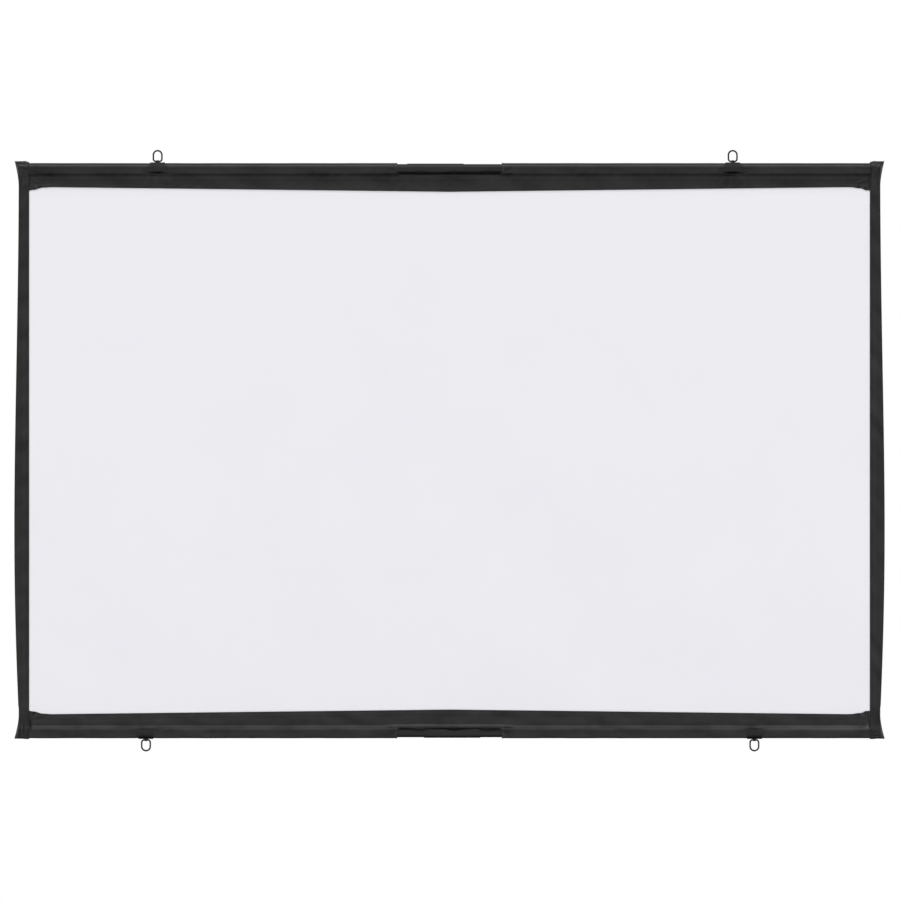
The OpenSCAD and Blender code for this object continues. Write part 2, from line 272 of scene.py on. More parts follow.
def creases(a, b, lines):
    """Sum of straight creases. Each line is (from a, from b, to a, to b, half width, height) in mm."""
    total = np.zeros(np.broadcast(a, b).shape)
    for from_a, from_b, to_a, to_b, width, height in lines:
        run_a, run_b = (to_a - from_a) * MM, (to_b - from_b) * MM
        off_a, off_b = a - from_a * MM, b - from_b * MM
        along = (off_a * run_a + off_b * run_b) / (run_a ** 2 + run_b ** 2)
        held = np.clip(along, 0, 1)
        away = np.hypot(off_a - held * run_a, off_b - held * run_b)
        taper = 0.35 + 0.65 * np.sin(np.pi * held)
        total += height * MM * taper * np.exp(-(away / (width * MM)) ** 2)
    return total


def painted_crease_shading(out):
    """Painted shade in a valley and painted light on a ridge: how much darker or lighter the cloth
    is drawn, from how far it stands out.
    """
    return np.where(out > 0, 0.5, 0.75) * np.clip(out / (0.8 * MM), -1, 1)


def run_length(points, axis):
    """How far along a grid of points each one lies, from the first row (axis 0) or column (1)."""
    first = np.take(points, [0], axis=axis)
    steps = np.linalg.norm(np.diff(points, axis=axis, prepend=first), axis=2)
    return np.cumsum(steps, axis=axis)


def linked(name, data):
    """A new object of the scene that holds the data."""
    thing = bpy.data.objects.new(name, data)
    bpy.context.scene.collection.objects.link(thing)
    return thing


def grid_quads(rows, columns, closed_rows):
    """The corner numbers of each cell of a grid of points. In a closed row, the back half of the
    columns is joined to the front half."""
    index = np.arange(rows * columns).reshape(rows, columns)
    half = columns // 2
    for row in closed_rows:
        index[row, half + 1:] = index[row, :half][::-1]
    return np.stack([index[:-1, :-1], index[:-1, 1:], index[1:, 1:], index[1:, :-1]], -1)


def cloth_grid(name, points, lay, tone=None, keep=None, flip=False, closed_rows=()):
    """A sheet object with one quad for each kept cell of a (rows, columns, 3) grid of points. lay is
    where each point lies on the flat cloth, and tone the painted light and shade drawn on it."""
    quads = grid_quads(*points.shape[:2], closed_rows)
    quads = quads.reshape(-1, 4) if keep is None else quads[keep]
    if flip:
        quads = quads[:, ::-1]
    used, quads = np.unique(quads, return_inverse=True)
    mesh = bpy.data.meshes.new(name)
    mesh.from_pydata(points.reshape(-1, 3)[used].tolist(), [], quads.reshape(-1, 4).tolist())
    flat = np.zeros((len(used), 3), np.float32)
    flat[:, :2] = lay.reshape(-1, 2)[used]
    mesh.attributes.new("lay", "FLOAT_VECTOR", "POINT").data.foreach_set("vector", flat.ravel())
    # The fold attribute holds the painted light and shade
    if tone is not None:
        shade = tone.reshape(-1)[used].astype(np.float32)
        mesh.attributes.new("fold", "FLOAT", "POINT").data.foreach_set("value", shade)
    return linked(name, mesh)


def thicken(piece, offset=-1):
    """Gives a sheet the cloth's thickness, with crisp cut edges and smooth faces."""
    modifier = piece.modifiers.new("thickness", "SOLIDIFY")
    modifier.thickness = CLOTH_T
    modifier.offset = offset
    graph = bpy.context.evaluated_depsgraph_get()
    mesh = bpy.data.meshes.new_from_object(piece.evaluated_get(graph))
    piece.modifiers.clear()
    piece.data = mesh
    mesh.name = piece.name
    mesh.shade_smooth()
    mesh.set_sharp_from_angle(angle=math.radians(50))


def stitch_runs(paths):
    """Where each stitch begins and ends, and the way it faces, along all the paths."""
    starts, ends, outs = [], [], []
    for points, out in paths:
        along = np.concatenate([[0], np.cumsum(np.linalg.norm(np.diff(points, axis=0), axis=1))])
        begin = np.arange(STITCH_PITCH / 2, along[-1] - STITCH_LEN, STITCH_PITCH)
        for place, kept in ((begin, starts), (begin + STITCH_LEN, ends)):
            kept.append(np.stack([np.interp(place, along, points[:, k]) for k in range(3)], 1))
        outs.append(np.tile(np.array(out, float), (len(begin), 1)))
    return [np.concatenate(part) for part in (starts, ends, outs)]


def stitches(name, paths):
    """Short threads along each path, which is its points and the way that its cloth faces."""
    start, end, out = stitch_runs(paths)
    run = end - start
    side = np.cross(run, out)
    side /= np.linalg.norm(side, axis=1, keepdims=True)
    turns = np.arange(THREAD_SIDES) * 2 * np.pi / THREAD_SIDES
    centre = (start[:, None, :] + THREAD_SHARES[None, :, None] * run[:, None, :]
              + THREAD_LIFTS[None, :, None] * out[:, None, :])
    ring = (np.cos(turns)[None, None, :, None] * side[:, None, None, :]
            + np.sin(turns)[None, None, :, None] * out[:, None, None, :])
    verts = centre[:, :, None, :] + THREAD_RADII[None, :, None, None] * ring
    count, rings, sides = verts.shape[:3]
    index = np.arange(count * rings * sides).reshape(count, rings, sides)
    after = np.roll(index, -1, axis=2)
    quads = np.stack([index[:, :-1], index[:, 1:], after[:, 1:], after[:, :-1]], -1).reshape(-1, 4)
    faces = quads.tolist() + index[:, 0].tolist() + index[:, -1, ::-1].tolist()
    mesh = bpy.data.meshes.new(name)
    mesh.from_pydata(verts.reshape(-1, 3).tolist(), [], faces)
    mesh.shade_smooth()
    return linked(name, mesh)


class Section:
    """Rows of cloth across a tube, one value for each column. A row has its distance out from the
    middle plane, its height u, and the direction (out, u) in which the cloth swells there."""

    def __init__(self, x):
        self.ones = np.ones_like(x)
        self.rows = []
        self.named = {}

    def add(self, out, u, swell_out=1.0, swell_u=0.0):
        self.rows.append([part * self.ones for part in (out, u, swell_out, swell_u)])

    def add_round(self, radius, angle):
        """A row on a round about the tube's axis, at an angle from straight outward."""
        self.add(radius * np.sin(angle), radius * np.cos(angle), np.sin(angle), np.cos(angle))

    def name_last(self, name):
        self.named[name] = len(self.rows) - 1

    def grids(self):
        """Out, u and the two parts of the swell, each with (rows, columns)."""
        return np.array(self.rows).transpose(1, 0, 2)


def wavy_hem_depth(x):
    """The hem's depth with the waves and the drop of its edge beside the corners."""
    beside_corner = smooth((np.abs(x) - HEM_BEND_X) / (30 * MM))
    before_binding = smooth((VIEW_HALF - np.abs(x)) / (8 * MM))
    wave = beside_corner * HEM_WAVE * np.sin(x / HEM_WAVE_PITCH) * before_binding
    return hem_depth(x) + wave + HEM_DROP * near(np.abs(x), VIEW_HALF - HEM_DROP_IN, 5 * MM)


def add_hem(section, depth):
    """From a hem's turned-in end, round its fold and past both its stitchings."""
    for share in np.linspace(0, 1, 4):
        section.add(FOLD_IN, -(depth - FOLD_W + share * (FOLD_W - FOLD_R)))
    for angle in np.linspace(0, np.pi, 7)[1:-1]:
        section.add(FOLD_IN + FOLD_R - FOLD_R * np.cos(angle), -(depth - FOLD_R) - FOLD_R * np.sin(angle))
    for inset in HEM_INSETS:
        step = smooth((inset - FOLD_W) / FOLD_STEP)
        section.add(FOLD_TOP + (HEM_HALF - FOLD_TOP) * step, -(depth - inset))
        if inset == HEM_STITCH_IN:
            section.name_last("hem_stitch")
    flat_end = depth - FOLD_W - FOLD_STEP
    for share in np.linspace(0, 1, 8)[1:-1]:
        section.add(HEM_HALF, -(flat_end + share * (TUNNEL_STITCH - flat_end)))
    section.add(HEM_HALF, -TUNNEL_STITCH)
    section.name_last("tunnel_stitch")


def add_bridge(section, low):
    """From the loop's seam, in an easy curve, to where the cloth reaches the tube, at the angle low."""
    seam = np.array([HEM_HALF, -TUNNEL_STITCH])
    touch = np.array([SLEEVE_R * math.sin(low), SLEEVE_R * math.cos(low)])
    leave = np.array([math.sin(SEAM_TURN), math.cos(SEAM_TURN)])
    arrive = np.array([-math.cos(low), math.sin(low)])
    run = np.linalg.norm(touch - seam)
    for share in np.linspace(0, 1, 9)[1:]:
        place = (seam * (1 + 2 * share) * (1 - share) ** 2 + touch * share ** 2 * (3 - 2 * share)
                 + run * leave * share * (1 - share) ** 2 - run * arrive * share ** 2 * (1 - share))
        turn = share * (np.pi - low) + (1 - share) * SEAM_FACING
        section.add(place[0], place[1], math.cos(turn), -math.sin(turn))


def in_window(x, fade):
    """1 in a window and 0 outside it, with an even slope of the given width inside its ends."""
    return smooth((WINDOW_HALF - np.abs(x)) / fade)


def window_cut(x):
    """The angle from straight outward at which a window's wavy edge lies."""
    inside = in_window(x, 4 * MM)
    wave = 1.1 * np.sin(x / (10.6 * MM) + 0.6) + 0.4 * np.sin(x / (4.7 * MM))
    return math.acos(-WINDOW_EDGE / SLEEVE_R) - inside * wave * MM / SLEEVE_R


def sleeve_section(x):
    """One side of a sleeve, from the turned-in end of its hem out to the crest of its loop."""
    section = Section(x)
    low = math.radians(TOUCH_ANGLE)
    cut = window_cut(x)
    add_hem(section, wavy_hem_depth(x))
    add_bridge(section, low)
    for share in np.linspace(0, 1, 8)[1:]:
        section.add_round(SLEEVE_R, low + (cut - low) * share)
    section.name_last("cut")
    for share in np.linspace(0, 1, 16)[1:]:
        section.add_round(SLEEVE_R, cut * (1 - share))
    return section


def spaced(low, high, step):
    """Even places from low to high, about one step apart."""
    return np.linspace(low, high, max(2, round((high - low) / step) + 1))


def sleeve_columns(clips):
    """Places along a sleeve, closer together where the cloth creases."""
    corner = HEM_BEND_X - CORNER_RUN
    window_end = spaced(0, WINDOW_END_RUN, WINDOW_END_STEP)
    parts = [spaced(-SLEEVE_END, SLEEVE_END, PLAIN_STEP),
             spaced(-WINDOW_HALF, WINDOW_HALF, WINDOW_STEP),
             WINDOW_HALF + window_end, -WINDOW_HALF - window_end,
             spaced(corner, SLEEVE_END, CORNER_STEP),
             spaced(-SLEEVE_END, -corner, CORNER_STEP)]
    parts += [spaced(x - CLIP_RUN, x + CLIP_RUN, CLIP_STEP) for x in clips]
    x = np.sort(np.concatenate(parts))
    x = x[np.diff(x, prepend=-1) > SMALLEST_STEP]
    for exact in (-WINDOW_HALF, WINDOW_HALF, -SLEEVE_END, SLEEVE_END):
        x[np.abs(x - exact).argmin()] = exact
    return x


# The heights of all the creases below also set painted shade in their valleys and painted light on their
# ridges
# Creases that a clip presses into its sleeve, about the clip's middle and the tube's axis
CLIP_CREASES = [
    (-20, -6.6, 18, -7.0, 2.0, -1.0), (-18, -11.6, 6, -11.6, 1.4, -0.3),
    (-15.5, 8, -16.5, -4, 1.6, -0.3), (15.5, 8, 17, -4, 1.7, -0.3),
    (-18, 1, -30, 0, 1.6, -0.2), (-17, -2, -30, -5, 2.0, -0.25), (18, 1, 29, 0, 1.6, -0.2),
    (17, -3, 28, -8, 2.0, -0.2), (-14, -12, -24, -24, 2.4, 0.25), (13, -12, 24, -22, 2.4, 0.25),
    (-2, -13, -4, -27, 3, 0.2)]
# Creases of a sleeve and its hem beside a corner, about the corner of the white area, for the top
# (1) or the bottom (-1) and the left (-1) or the right (1)
HEM_LUMPS = [
    (-4, -17, -22, -24, 2.4, 0.35), (-8, -22, -30, -29, 2.0, -0.3), (-4, -28, -16, -33, 2.0, 0.4),
    (-13, -30, -15, -39, 1.5, 0.5), (-8, -31, -9, -38, 1.3, -0.5), (-20, -29, -22, -37, 1.5, -0.5),
    (-27, -28, -30, -35, 1.7, 0.4), (-35, -27, -38, -33, 2.0, 0.3), (-5, -28.5, -55, -28, 1.1, 0.35)]
CORNER_CREASES = {
    (1, -1): HEM_LUMPS + [(-3, 3, -20, 2, 2.0, -0.15), (-1, -5, -14, -5, 2.4, -0.2)],
    (1, 1): HEM_LUMPS + [(-13, -19, -27, -26, 1.3, 0.4), (-2, 6, -12, 7, 1.8, -0.3)],
    (-1, -1): HEM_LUMPS[:5] + [(-3, -25, -3, -3, 2.6, -0.5), (-8, -8, -9, -22, 2.2, 0.2)],
    (-1, 1): HEM_LUMPS[2:6] + [
        (-4.5, -9, -1.5, -17, 2.0, 0.9), (-1.2, -20, -1.2, -36, 0.9, 0.6),
        (-3.2, -20, -3.2, -36, 0.9, -0.5), (-8, -12, -22, -10, 1.8, -0.2)]}
# Creases at the ends of a window, about the window's inner corner
WINDOW_CREASES = [
    (2, 2, 16, 9, 1.8, -0.4), (3, -3, 20, -4, 1.9, -0.4), (1, -9, 14, -16, 2.2, 0.4),
    (-4, -10, -22, -14, 2.2, 0.3)]
# How strongly a clip's creases show on the bottom sleeve, and a window's at its left end in front
BOTTOM_CLIP_SHARE = 0.45
WINDOW_END_SHARE = 0.6
# Height and size of a sleeve's long and short waves
LONG_WAVE = 0.16 * MM, 70 * MM
SHORT_WAVE = 0.06 * MM, 17 * MM


def shifted(lines, x, u, mirror=1, scale=1.0):
    """The same creases about another place, turned left to right by a mirror of -1."""
    x, u = x / MM, u / MM
    return [(x + mirror * a, u + b, x + mirror * c, u + d, width, height * scale)
            for a, b, c, d, width, height in lines]


def sleeve_creases(x, u, up, front, clips, seed):
    """How far a sleeve's cloth stands out from its even shape."""
    lines = []
    turn = 1 if front else -1
    for clip_x in clips:
        lines += shifted(CLIP_CREASES, clip_x, 0, turn, 1 if up > 0 else BOTTOM_CLIP_SHARE)
    for side in (-1, 1):
        share = 1 if side == turn else WINDOW_END_SHARE
        lines += shifted(CORNER_CREASES[up, side * turn], side * VIEW_HALF, 0, side)
        lines += shifted(WINDOW_CREASES, side * WINDOW_HALF, -WINDOW_EDGE, side, share)
    long_height, long_size = LONG_WAVE
    short_height, short_size = SHORT_WAVE
    waves = (long_height * ripple(x, u * 2, long_size, seed)
             + short_height * ripple(x, u, short_size, seed + 1))
    return creases(x, u, lines) + waves


def sleeve_painted_shading(out, x, u, up, cut_u):
    """Painted light and shade on a sleeve's cloth: painted shade in the valleys of its creases and
    painted light on their ridges, painted shade under the top tube, painted light on the top hem, a
    painted dimming of the highlight along the front of the bottom loop that turns into a painted
    brightening towards the right end, painted shadow along the window's cut edge, and a painted
    highlight at the window's turned ends."""
    inside = in_window(x, WINDOW_FADE)
    if up > 0:
        # Painted shade in the seam under the top tube, weaker over the window
        under_tube = 0.42 * (1 - 0.8 * inside) * near(u, -11 * MM, 3 * MM)
        # Painted light on the top hem
        hem = 0.13 * smooth((-19 * MM - u) / (4 * MM))
        shade = under_tube - hem
    else:
        # A painted dimming of the bottom loop's highlight, which turns into a painted brightening towards
        # the right end
        far_right = smooth((x - 500 * MM) / (230 * MM))
        shade = 0.26 * near(u, -8 * MM, 5 * MM) * (1 - 1.4 * far_right)
    # Painted shadow along the window's cut edge
    window_edge = 0.7 * inside * near(u, cut_u - 0.6 * MM, 1.1 * MM)
    # A painted highlight on the turned cloth at the window's ends
    at_end = near(np.abs(x), WINDOW_HALF + 1.5 * MM, 1.5 * MM)
    window_end = 0.2 * at_end * smooth((u + WINDOW_EDGE) / MM)
    return 1.2 * painted_crease_shading(out) - shade - window_edge + window_end


def held_in(out, x, across, u, up):
    """The same swell, kept clear of the clips, the coupler and the tube, and with the bottom loop
    drawn in by the weight that hangs in it."""
    angle = np.degrees(np.arctan2(across, u))
    gripped = smooth((CLIP_END_ANGLE - angle) / 6)
    near_coupler = smooth((COUPLER_REACH - np.abs(x)) / (8 * MM))
    high = CLIP_ROOM + (1 - gripped) * OPEN_ROOM
    low = -(SINK - (SINK - COUPLER_SINK) * near_coupler)
    in_loop = u > -(SLEEVE_R + 0.5 * MM)
    out = np.where(in_loop, np.clip(out, low, high), np.maximum(out, 0))
    if up < 0:
        pull = smooth((u - PULL_U) / PULL_RUN) * smooth((angle - PULL_END_ANGLE) / PULL_TURN)
        out = np.maximum(out - LOOP_PULL * pull * (1 - near_coupler), -LOOP_SINK)
    return out


def window_lift(x, u):
    """How far the cloth round a window stands out over the rest."""
    turned = smooth((WINDOW_HALF + 3 * MM - np.abs(x)) / (0.8 * MM))
    beside = smooth((u + WINDOW_EDGE + 1.2 * MM) / (1.5 * MM))
    rise = smooth((u + WINDOW_EDGE + 4.5 * MM) / (4 * MM)) ** 2
    curl = WINDOW_LIP + WINDOW_LIP_WAVE * np.sin(x / (9 * MM))
    return WINDOW_TURN * turned * beside + curl * in_window(x, WINDOW_FADE) * rise


def sleeve_side(x, section, up, front, clips, seed):
    """Points about the tube's axis, and the painted light and shade, of one side of a sleeve."""
    across, u, swell_out, swell_u = section.grids()
    out = sleeve_creases(x, u, up, front, clips, seed)
    tone = sleeve_painted_shading(out, x, u, up, u[section.named["cut"]])
    out = held_in(out, x, across, u, up) + window_lift(x, u)
    out = out * smooth((SLEEVE_END - np.abs(x)) / (6 * MM))
    y = across + swell_out * out
    y = -y if front else y
    return np.stack([np.broadcast_to(x, y.shape), y, u + swell_u * out], -1), tone


def sleeve(name, axis_z, up, clips, seed):
    """A sleeve about its tube, with its hem, and the threads that close them. up is 1 on top.
    Gives also the cloth's length round the tube, and the part of it that a window cuts away."""
    x = sleeve_columns(clips)
    section = sleeve_section(x)
    front, front_tone = sleeve_side(x, section, up, True, clips, seed)
    back, back_tone = sleeve_side(x, section, up, False, clips, seed + 10)
    points = np.concatenate([front, back[-2::-1]])
    tone = np.concatenate([front_tone, back_tone[-2::-1]])
    crest = len(front) - 1
    points[crest] = (front[-1] + back[-1]) / 2
    arc = run_length(points, 0)
    arc = arc - arc[crest]
    lay = np.stack([points[:, :, 0], arc], -1)
    last = len(points) - 1
    cut = section.named["cut"]
    keep = np.ones((last, len(x) - 1), bool)
    cell_x = (x[1:] + x[:-1]) / 2
    keep[cut:last - cut, np.abs(cell_x) < WINDOW_HALF] = False
    points[:, :, 2] = axis_z + up * points[:, :, 2]
    piece = cloth_grid(name, points, lay, tone, keep, flip=up < 0)
    thicken(piece)
    seen = np.abs(x) < VIEW_HALF - 1 * MM
    paths = []
    for row in (section.named["hem_stitch"], section.named["tunnel_stitch"]):
        paths.append((points[row][seen], FRONT))
        paths.append((points[last - row][seen], BACK))
    threads = stitches(name + "_stitches", paths)
    around = float((arc[-1] - arc[0])[np.abs(x) > WINDOW_HALF].mean())
    cut_away = float(2 * -arc[cut, len(x) // 2])
    return piece, threads, around, cut_away


def swelled(points, out):
    """A grid of points moved along its own normals."""
    normal = np.cross(np.gradient(points, axis=1), np.gradient(points, axis=0))
    normal /= np.maximum(np.linalg.norm(normal, axis=2, keepdims=True), 1e-12)
    return points + normal * out[:, :, None]


def add_peak(section, peak, touch, radius):
    """The crest of a cap, folded sharp, and its straight sides down to the round of the sleeve."""
    section.add(0, peak, 0, 1)
    section.add(0.6 * HEM_HALF, peak - 0.15 * MM, 0.6, 0.8)
    shoulder = peak - 0.5 * MM
    for share in (0, 0.25, 0.5, 0.75):
        section.add(HEM_HALF + (radius * np.sin(touch) - HEM_HALF) * share,
                    shoulder + (radius * np.cos(touch) - shoulder) * share,
                    np.sin(touch), np.cos(touch))


def cap_section(x, peak):
    """The inside of a binding over the end of a sleeve, from its crest in to the plain strip, at each
    x. The crest is folded sharp at the height of the peak, or round without one."""
    section = Section(x)
    radius = CAP_R - CLOTH_T
    touch = np.zeros_like(x)
    shares = np.linspace(0, 1, 18)
    if peak is not None:
        touch = np.arctan2(HEM_HALF, peak) + np.arccos(radius / np.hypot(HEM_HALF, peak))
        shares = np.linspace(0, 1, 13)
        add_peak(section, peak, touch, radius)
    reach = math.hypot(HEM_HALF, BRIDGE_U)
    low = np.pi - (math.atan2(HEM_HALF, BRIDGE_U) + math.acos(radius / reach))
    for share in shares:
        section.add_round(radius, touch + (low - touch) * share)
    for share in np.linspace(0, 1, 10)[1:]:
        sag = CAP_SAG * math.sin(math.pi * share) ** 1.2
        turn = low + (np.pi / 2 - low) * share
        section.add(radius * math.sin(low) * (1 - share) + CAP_FOOT * share - sag,
                    radius * math.cos(low) * (1 - share) - BRIDGE_U * share, np.sin(turn), np.cos(turn))
    for out, past in CAP_TAIL:
        section.add(out, -(HEM_SIDE + HEM_CORNER_DROP + past))
    return section.grids()


def binding_columns():
    """Across one side of a binding from its turned-in end to just before its outer fold. Each column
    has its x beyond the white's edge, the share of the way from the neck to the outer edge, its
    height over what lies beneath, and the side that it shows, from -1 for the inside to 1."""
    single = CLOTH_T + LAYER_GAP
    double = LAYER_GAP + 2 * FOLD_R
    columns = []
    for x in (BINDING_TURN, 0.66 * BINDING_TURN, 0.33 * BINDING_TURN, FOLD_R):
        columns.append((x, 0, LAYER_GAP, -1))
    for angle in np.linspace(0, np.pi, 7)[1:-1]:
        columns.append((FOLD_R - FOLD_R * math.sin(angle), 0,
                        LAYER_GAP + FOLD_R - FOLD_R * math.cos(angle), -math.cos(angle)))
    for x in (FOLD_R, 1.5 * MM, BINDING_STITCH_IN, 3.8 * MM, 5.4 * MM, BINDING_TURN):
        columns.append((x, 0, double, 1))
    columns.append((BINDING_TURN + 2.5 * MM, 0, (single + double) / 2, 1))
    for x in np.linspace(BINDING_TURN + 5 * MM, BINDING_PLAIN, 5):
        columns.append((x, 0, single, 1))
    for share in (0.07, 0.2, 0.34, 0.48, 0.62, 0.75, 0.87, 1):
        columns.append((BINDING_PLAIN, share, single, 1))
    return np.array(columns).T


# The heights of these creases also set painted shade in their valleys and painted light on their ridges
# Creases of a binding's front, about the corner of the white area, with x outward, for the top (1)
# or the bottom (-1) and the left (-1) or the right (1)
BINDING_CREASES = {
    (1, -1): [
        (21, 10.5, 12, 9.3, 1.3, -0.6), (12, 9.3, -1, 4, 1.4, -0.5), (17, 7, 9, 6, 1.4, 0.8),
        (9, 6.5, 3, 3, 1.3, 0.6), (13, 3.5, 3, -1, 1.6, -0.3), (16, -2.5, 14, -13.5, 1.2, 0.45),
        (19, 4, 18, -8, 1.5, -0.35), (3, -22, 12, -27, 2.4, 0.2)],
    (1, 1): [
        (4, 8.5, 12, 10.5, 1.6, 0.25), (6, 5, 15, 6.5, 1.6, -0.25), (15, 10, 20, 3, 1.6, 0.3),
        (8, 1, 16, 3, 1.7, 0.2), (4.5, 10, 4.5, -36, 1.0, 0.3), (2.6, 8, 2.6, -34, 1.0, -0.3),
        (17, 2, 15, -9, 1.5, -0.3)],
    (-1, -1): [
        (5, 2, 6, -22, 1.3, 0.25), (9, 4, 10, -20, 1.2, -0.25), (13, 4, 13, -24, 1.3, 0.25),
        (17, 6, 16, -10, 1.4, -0.3), (2, 4, 15, 5, 1.3, 0.25)],
    (-1, 1): [
        (2, 3, 14, 2.4, 1.1, 0.45), (2, 6.5, 16, 7.6, 1.1, 0.45), (3, 4.8, 15, 5, 1.0, -0.4),
        (3, 1, 12, -1, 1.2, -0.3), (3, -4, 3.4, -30, 1.0, 0.3)]}


def binding_x(columns, edge):
    """Where a binding's columns lie when its side edge lies at the given x."""
    beyond, share = columns[:2]
    spread = edge - BINDING_EDGE_R - (VIEW_HALF + BINDING_PLAIN)
    return VIEW_HALF + beyond + spread * share


def binding_cap(columns, section, axis_z, up, flare):
    """x, half thickness and z of the end of a binding, which closes over the end of a sleeve."""
    over = columns[2]
    half, u, swell_half, swell_u = section
    edge = flare_x(u[:, -1:], flare)
    x = binding_x(columns, edge)
    start = SLEEVE_END + CLOTH_GAP
    closing = np.clip((x - start) / (edge - BINDING_EDGE_R - start), 0, 1)
    half, u = half + swell_half * over, u + swell_u * over
    flange = np.minimum(BINDING_EDGE_R, half)
    half = flange + (half - flange) * (1 - closing ** 1.5) ** 0.9
    return [part[::-up] for part in (x, half, axis_z + up * u)]


def binding_side(columns):
    """x, half thickness and z of one side of a binding, from its bottom end up to its top end."""
    nominal = binding_x(columns, flare_x(SLEEVE_R, TOP_FLARE))
    rise = smooth((nominal - VIEW_HALF) / (9.5 * MM))
    peak = CAP_LOW_PEAK + (PEAK - CLOTH_T - CAP_LOW_PEAK) * rise
    bottom = binding_cap(columns, cap_section(nominal, None), BOTTOM_Z, -1, BOTTOM_FLARE)
    top = binding_cap(columns, cap_section(nominal, peak), TOP_Z, 1, TOP_FLARE)
    z = np.linspace(BOTTOM_Z + CAP_ZONE, TOP_Z - CAP_ZONE, BINDING_ROWS)[:, None]
    x = binding_x(columns, edge_x(z))
    plain = [x, np.broadcast_to(FOLD_IN + columns[2], x.shape), np.broadcast_to(z, x.shape)]
    return [np.concatenate(parts) for parts in zip(bottom, plain, top)]


def binding_grid(columns):
    """The points of the right binding, from its turned-in end on the front round the outer edge to
    the back, and the number of the column on that edge."""
    x, half, z = binding_side(columns)
    side_x, side_half, side_z = x[:, -1:], half[:, -1:], z[:, -1:]
    for angle in np.linspace(0, np.pi / 2, 4)[1:]:
        x = np.hstack([x, side_x + BINDING_EDGE_R * math.sin(angle)])
        half = np.hstack([half, side_half * math.cos(angle)])
        z = np.hstack([z, side_z])
    front = np.stack([x, -half, z], -1)
    back = np.stack([x, half, z], -1)
    return np.concatenate([front, back[:, -2::-1]], axis=1), x.shape[1] - 1


def binding_painted_shading(out, out_x, from_top, from_bottom, side):
    """Painted light and shade on a binding's cloth: painted shade in the valleys of its creases and
    painted light on their ridges, painted shade along its seam and its outer edge, and painted shade
    towards its lower end, over its bottom cap and at the top on the right."""
    edge = out_x.max(axis=1, keepdims=True)
    # Painted shade along the seam beside the sleeves and along the outer edge
    shade = 0.06 * near(out_x, 0, 2 * MM) + 0.2 * near(out_x, edge, 1.5 * MM)
    # Painted shade towards the lower end and over the bottom cap
    shade += 0.12 * smooth((-from_top - 0.6) / 0.4)
    shade += 0.12 * smooth((from_bottom + 35 * MM) / (20 * MM))
    # Painted shade over the top cap on the right
    if side > 0:
        shade += 0.1 * smooth((from_top + 25 * MM) / (15 * MM))
    return 1.5 * painted_crease_shading(out) - shade


def binding_swell(points, edge_column, side, seed):
    """How far a binding's cloth stands out from its even shape, and the painted light and shade drawn on
    it.
    """
    from_top = points[:, :, 2] - TOP_Z
    from_bottom = BOTTOM_Z - points[:, :, 2]
    out_x = points[:, :, 0] - VIEW_HALF
    from_edge = np.arange(points.shape[1]) - edge_column
    is_front = from_edge <= 0
    front, back = (creases(out_x, from_top, BINDING_CREASES[1, turned])
                   + creases(out_x, from_bottom, BINDING_CREASES[-1, turned]) for turned in (side, -side))
    height, size = BINDING_WAVE
    waves = height * ripple(out_x + 1.5 * is_front, points[:, :, 2], size, seed)
    out = np.where(is_front, front, back) + waves
    tone = binding_painted_shading(out, out_x, from_top, from_bottom, side)
    plain_end = CAP_ZONE + 2 * MM
    plain = (from_top < -plain_end) & (from_bottom < -plain_end)
    fade = 0.25 + 0.75 * smooth(np.abs(from_edge) / 5)
    return np.where(plain, np.maximum(out, 0), out) * fade, tone


def binding(name, side, seed):
    """The folded strip on one side edge, with the caps that its ends make. side is 1 on the right.
    Gives also the threads that close it, and the cloth's width and length."""
    columns = binding_columns()
    beyond, shows = columns[0], columns[3]
    points, edge_column = binding_grid(columns)
    last = points.shape[1] - 1
    stitched = int(np.flatnonzero((beyond == BINDING_STITCH_IN) & (shows == 1))[0])
    z = points[:, stitched, 2]
    sewn = (z < TOP_Z - BINDING_SEWN_IN) & (z > BOTTOM_Z + BINDING_SEWN_IN)
    out, tone = binding_swell(points, edge_column, side, seed)
    signs = np.concatenate([shows, np.ones(last + 1 - 2 * len(shows)), shows[::-1]])
    points = swelled(points, out * signs)
    arc_x, arc_z = run_length(points, 1), run_length(points, 0)
    lay = np.stack([arc_x, arc_z], -1)
    points[:, :, 0] *= side
    piece = cloth_grid(name, points, lay, tone, flip=side < 0, closed_rows=(0, len(points) - 1))
    thicken(piece)
    paths = [(points[sewn, stitched], FRONT), (points[sewn, last - stitched], BACK)]
    threads = stitches(name + "_stitches", paths)
    return piece, threads, float(arc_x[:, -1].mean()), float(arc_z[-1, edge_column])


def projection_sheet():
    """The white sheet, drawn flat by the weight of the bottom tube, with faint waves."""
    low, high = BOTTOM_Z + SHEET_END_IN, TOP_Z - SHEET_END_IN
    low_zone, high_zone = BOTTOM_Z + CAP_ZONE, TOP_Z - CAP_ZONE
    z = np.concatenate([np.linspace(low, low_zone, 8)[:-1],
                        np.linspace(low_zone, high_zone, SHEET_ROWS),
                        np.linspace(high_zone, high, 8)[1:]])
    x = np.linspace(-1, 1, SHEET_COLUMNS) * (edge_x(z)[:, None] - SHEET_EDGE_IN)
    z = np.broadcast_to(z[:, None], x.shape)
    from_top = TOP_Z - hem_depth(0) - z
    from_bottom = z - BOTTOM_Z - hem_depth(0)
    inside = smooth(from_top / (90 * MM)) * smooth(from_bottom / (90 * MM))
    inside = inside * smooth((VIEW_HALF - np.abs(x)) / (70 * MM))
    long_height, long_size = SHEET_LONG_WAVE
    short_height, short_size = SHEET_SHORT_WAVE
    waves = (long_height * ripple(x * 1.4, z, long_size, 5)
             + short_height * ripple(x * 2, z, short_size, 6))
    points = np.stack([x, inside * waves, z], -1)
    piece = cloth_grid("white_sheet", points, np.stack([x, z], -1))
    thicken(piece, offset=0)
    return piece


